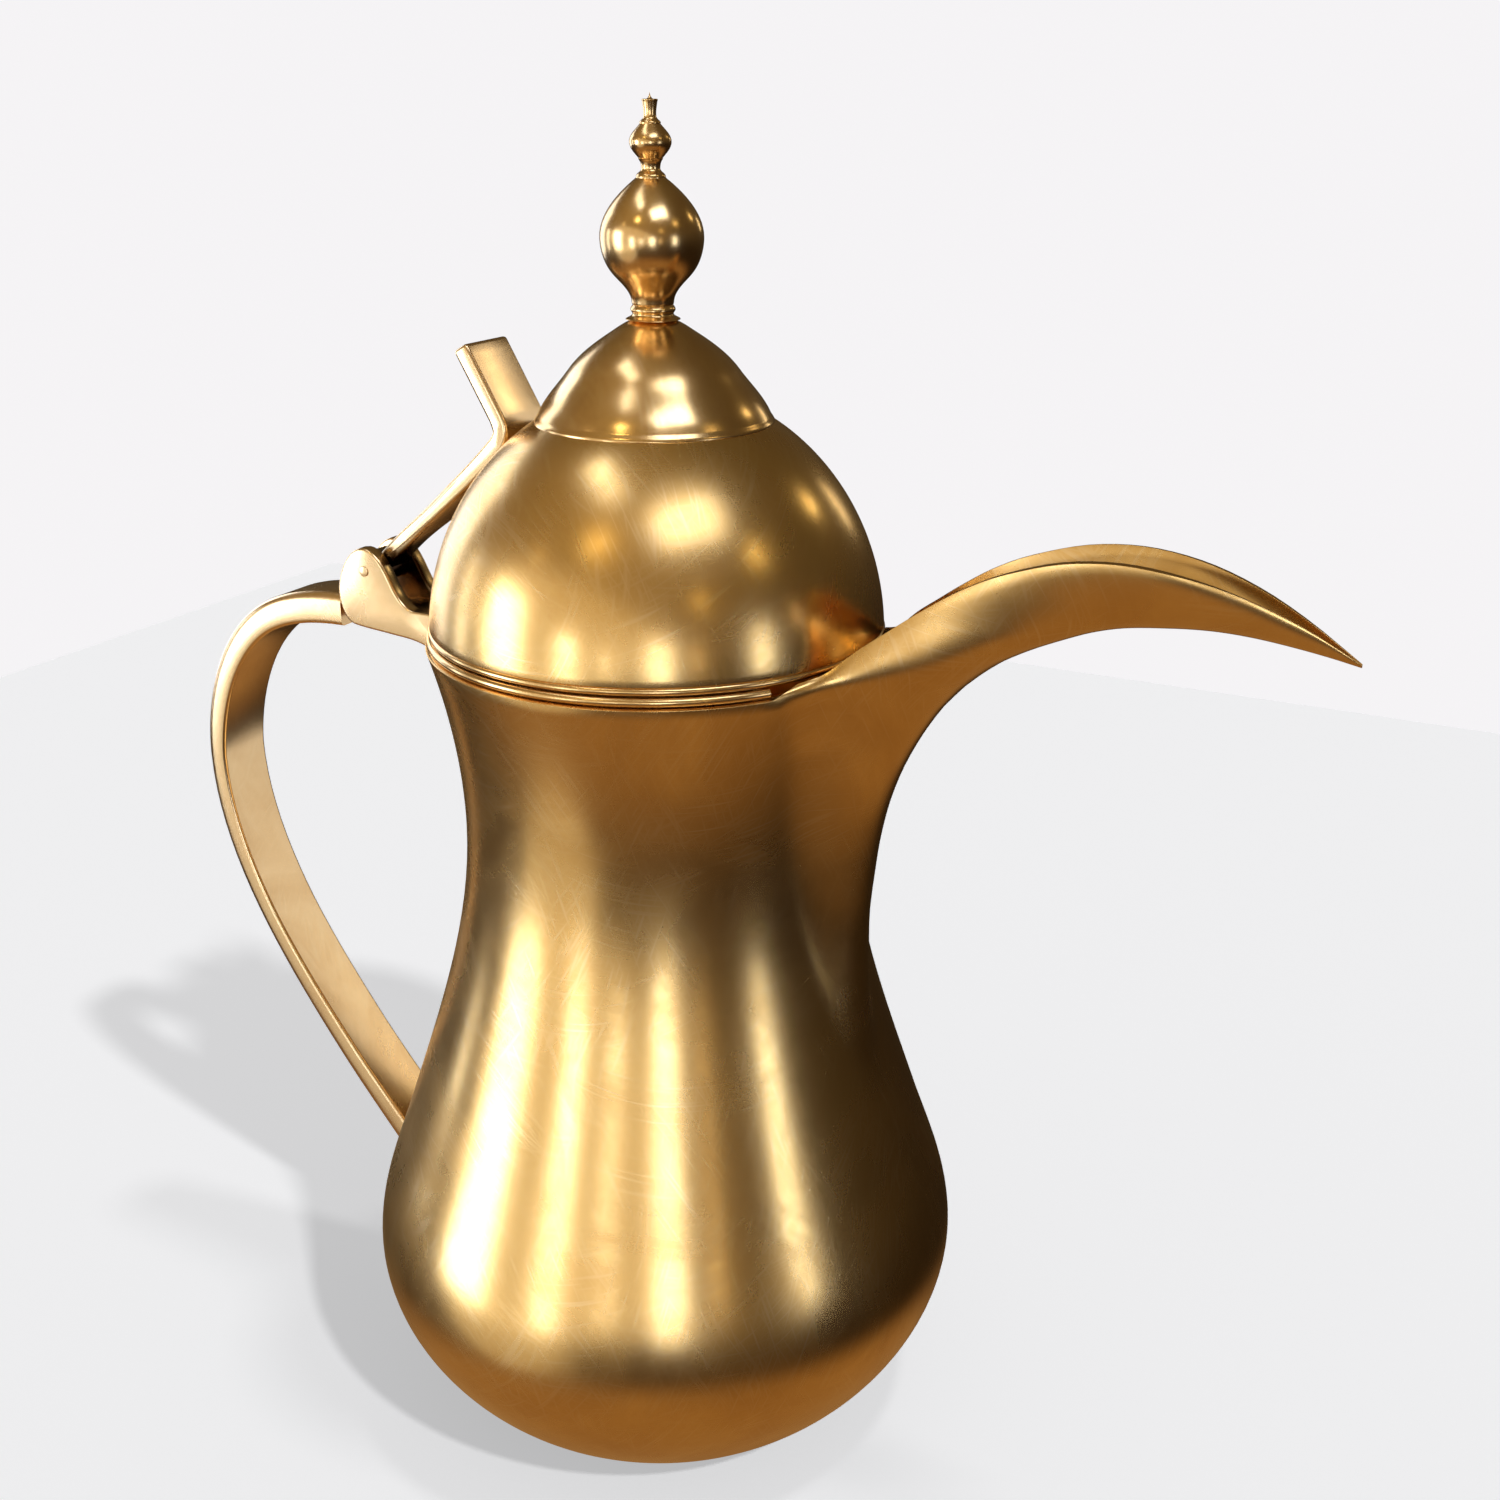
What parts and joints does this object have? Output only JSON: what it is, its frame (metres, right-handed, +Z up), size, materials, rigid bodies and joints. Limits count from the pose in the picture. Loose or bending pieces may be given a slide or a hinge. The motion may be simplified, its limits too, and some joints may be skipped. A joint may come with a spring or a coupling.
{
  "type": "dallah coffee pot",
  "caption": "Waisted brass coffee pot with a long beak spout, a strap handle and a domed lid with a turned finial, raised by a thumb tab on a rear hinge.",
  "frame": {"origin": "centre of the flat underside", "axes": "+Z up, +X along the spout, handle and hinge on -X, XZ is the plane of symmetry"},
  "size_m": [0.2722, 0.1336, 0.2951],
  "materials": {
    "satin_brass": "satin brushed brass with fine scratches",
    "pale_brass": "smooth pale brass",
    "polished_brass": "polished brass"
  },
  "bodies": {
    "pot": {"body_shell": "satin_brass", "base_plate": "satin_brass", "mouth_bead": "polished_brass", "spout": "satin_brass", "handle_strap": "pale_brass", "hinge_cheek_left": "pale_brass", "hinge_cheek_right": "pale_brass", "hinge_bar": "pale_brass", "hinge_pin": "pale_brass"},
    "lid": {"lid_dome": "satin_brass", "lid_bead": "polished_brass", "lid_collar": "satin_brass", "lid_crown": "polished_brass", "lid_lever": "pale_brass", "finial_base": "polished_brass", "finial_ball": "polished_brass", "finial_spool": "polished_brass", "finial_bead": "polished_brass", "finial_spindle": "polished_brass", "rod_washer": "polished_brass", "rod_nut": "polished_brass"}
  },
  "joints": [
    {"name": "lid_hinge", "type": "hinge", "parent": "pot", "child": "lid", "pos_m": [-0.0729, 0, 0.1919], "axis": [0, -1, 0], "range_deg": [0, 105]}
  ]
}
